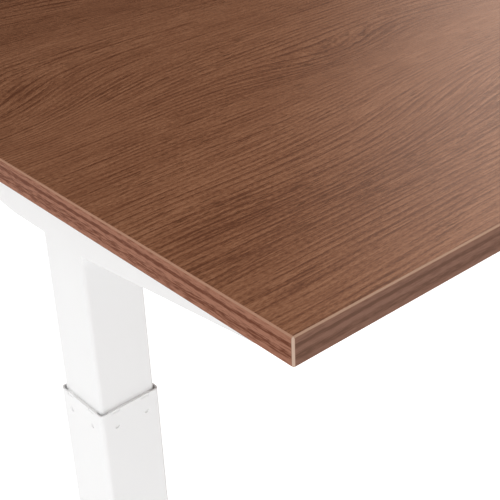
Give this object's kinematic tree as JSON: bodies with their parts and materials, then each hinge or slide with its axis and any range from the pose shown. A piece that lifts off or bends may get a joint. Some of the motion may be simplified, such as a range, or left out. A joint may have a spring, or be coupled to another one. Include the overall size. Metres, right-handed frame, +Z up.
{
  "type": "height adjustable standing desk",
  "caption": "Electric sit-stand desk: walnut-finish rectangular top on square telescopic columns with T feet, tapered under-top brackets, control box and handset.",
  "frame": {"origin": "on the floor under the middle of the desktop", "axes": "+X along the desktop's length to the user's right, +Y away from the user, +Z up"},
  "size_m": [1.4, 0.8, 0.901],
  "materials": {
    "particle_board": "raw particle board, hidden by laminate and bands",
    "walnut_laminate": "printed walnut-grain laminate, satin",
    "backing_laminate": "plain balancing laminate, satin",
    "walnut_band": "printed ABS edge band with rounded edges, satin",
    "white_powder_coat": "white powder coat, satin",
    "cast_housing": "die-cast, as cast",
    "motor_steel": "black painted steel can",
    "gear_steel": "machined steel, greased",
    "bearing_steel": "ground steel",
    "zinc_steel": "bright zinc plating",
    "nut_plastic": "moulded acetal, natural",
    "glide_plastic": "moulded acetal, white",
    "cap_plastic": "moulded, white, finely textured",
    "leveller_plastic": "moulded nylon, black",
    "dark_plastic": "moulded ABS, finely textured",
    "black_plastic": "moulded ABS, black",
    "button_plastic": "moulded, dark grey"
  },
  "bodies": {
    "left_base": {"left_outer_tube": "white_powder_coat", "left_upper_glides": "glide_plastic", "left_nut_tube": "zinc_steel", "left_lifting_nut": "nut_plastic", "left_base_plate": "white_powder_coat", "left_foot_beam": "white_powder_coat", "left_foot_end_caps": "cap_plastic", "left_foot_bolts": "zinc_steel"},
    "top": {"desktop_core": "particle_board", "desktop_top_laminate": "walnut_laminate", "desktop_backing_laminate": "backing_laminate", "edge_band_front": "walnut_band", "edge_band_back": "walnut_band", "edge_band_left": "walnut_band", "edge_band_right": "walnut_band", "desktop_screws": "zinc_steel", "head_plates": "white_powder_coat", "gearbox_lids": "cast_housing", "spindle_bearings": "bearing_steel", "gearbox_screws": "zinc_steel", "rail_sleeves": "white_powder_coat", "rail_screws": "zinc_steel", "control_box_base": "dark_plastic", "control_box_cover": "dark_plastic", "control_box_inlet": "black_plastic", "handset_case": "black_plastic", "handset_fascia": "black_plastic", "left_side_bracket": "white_powder_coat", "left_inner_tube": "white_powder_coat", "left_lower_glides": "glide_plastic", "left_gearbox_housing": "cast_housing", "left_motor": "motor_steel", "left_rail_arms": "white_powder_coat", "right_side_bracket": "white_powder_coat", "right_inner_tube": "white_powder_coat", "right_lower_glides": "glide_plastic", "right_gearbox_housing": "cast_housing", "right_motor": "motor_steel", "right_rail_arms": "white_powder_coat"},
    "right_base": {"right_outer_tube": "white_powder_coat", "right_upper_glides": "glide_plastic", "right_nut_tube": "zinc_steel", "right_lifting_nut": "nut_plastic", "right_base_plate": "white_powder_coat", "right_foot_beam": "white_powder_coat", "right_foot_end_caps": "cap_plastic", "right_foot_bolts": "zinc_steel"},
    "left_spindle_set": {"left_spindle": "gear_steel", "left_spindle_gear": "gear_steel"},
    "left_drive_pinion": {"left_drive_pinion": "gear_steel"},
    "left_front_leveller": {"left_front_leveller": "leveller_plastic"},
    "left_back_leveller": {"left_back_leveller": "leveller_plastic"},
    "right_spindle_set": {"right_spindle": "gear_steel", "right_spindle_gear": "gear_steel"},
    "right_drive_pinion": {"right_drive_pinion": "gear_steel"},
    "right_front_leveller": {"right_front_leveller": "leveller_plastic"},
    "right_back_leveller": {"right_back_leveller": "leveller_plastic"},
    "up_button": {"up_button": "button_plastic"},
    "down_button": {"down_button": "button_plastic"},
    "memory_button": {"memory_button": "button_plastic"}
  },
  "joints": [
    {"name": "lift", "type": "slide", "parent": "left_base", "child": "top", "axis": [0, 0, 1], "range_m": [-0.181, 0.269]},
    {"name": "right_lift", "type": "slide", "parent": "top", "child": "right_base", "axis": [0, 0, -1], "range_m": [-0.181, 0.269]},
    {"name": "left_spindle_turn", "type": "hinge", "parent": "top", "child": "left_spindle_set", "pos_m": [-0.603, 0, 0.5], "axis": [0, 0, 1], "continuous": true},
    {"name": "left_pinion_turn", "type": "hinge", "parent": "top", "child": "left_drive_pinion", "pos_m": [-0.603, 0.03, 0.837], "axis": [0, 1, 0], "continuous": true},
    {"name": "left_front_leveller_screw", "type": "slide", "parent": "left_base", "child": "left_front_leveller", "axis": [0, 0, -1], "range_m": [0, 0.008]},
    {"name": "left_back_leveller_screw", "type": "slide", "parent": "left_base", "child": "left_back_leveller", "axis": [0, 0, -1], "range_m": [0, 0.008]},
    {"name": "right_spindle_turn", "type": "hinge", "parent": "top", "child": "right_spindle_set", "pos_m": [0.603, 0, 0.5], "axis": [0, 0, 1], "continuous": true},
    {"name": "right_pinion_turn", "type": "hinge", "parent": "top", "child": "right_drive_pinion", "pos_m": [0.603, 0.03, 0.837], "axis": [0, 1, 0], "continuous": true},
    {"name": "right_front_leveller_screw", "type": "slide", "parent": "right_base", "child": "right_front_leveller", "axis": [0, 0, -1], "range_m": [0, 0.008]},
    {"name": "right_back_leveller_screw", "type": "slide", "parent": "right_base", "child": "right_back_leveller", "axis": [0, 0, -1], "range_m": [0, 0.008]},
    {"name": "up_press", "type": "slide", "parent": "top", "child": "up_button", "axis": [0, 1, 0], "range_m": [0, 0.001], "stiffness_N_per_m": 900},
    {"name": "down_press", "type": "slide", "parent": "top", "child": "down_button", "axis": [0, 1, 0], "range_m": [0, 0.001], "stiffness_N_per_m": 900},
    {"name": "memory_press", "type": "slide", "parent": "top", "child": "memory_button", "axis": [0, 1, 0], "range_m": [0, 0.001], "stiffness_N_per_m": 900}
  ],
  "couplings": [
    {"joint": "right_lift", "follows": "lift", "ratio": 1},
    {"joint": "left_spindle_turn", "follows": "lift", "rad_per_m": 1047.2},
    {"joint": "left_pinion_turn", "follows": "lift", "rad_per_m": 1047.2},
    {"joint": "right_spindle_turn", "follows": "lift", "rad_per_m": 1047.2},
    {"joint": "right_pinion_turn", "follows": "lift", "rad_per_m": 1047.2}
  ]
}
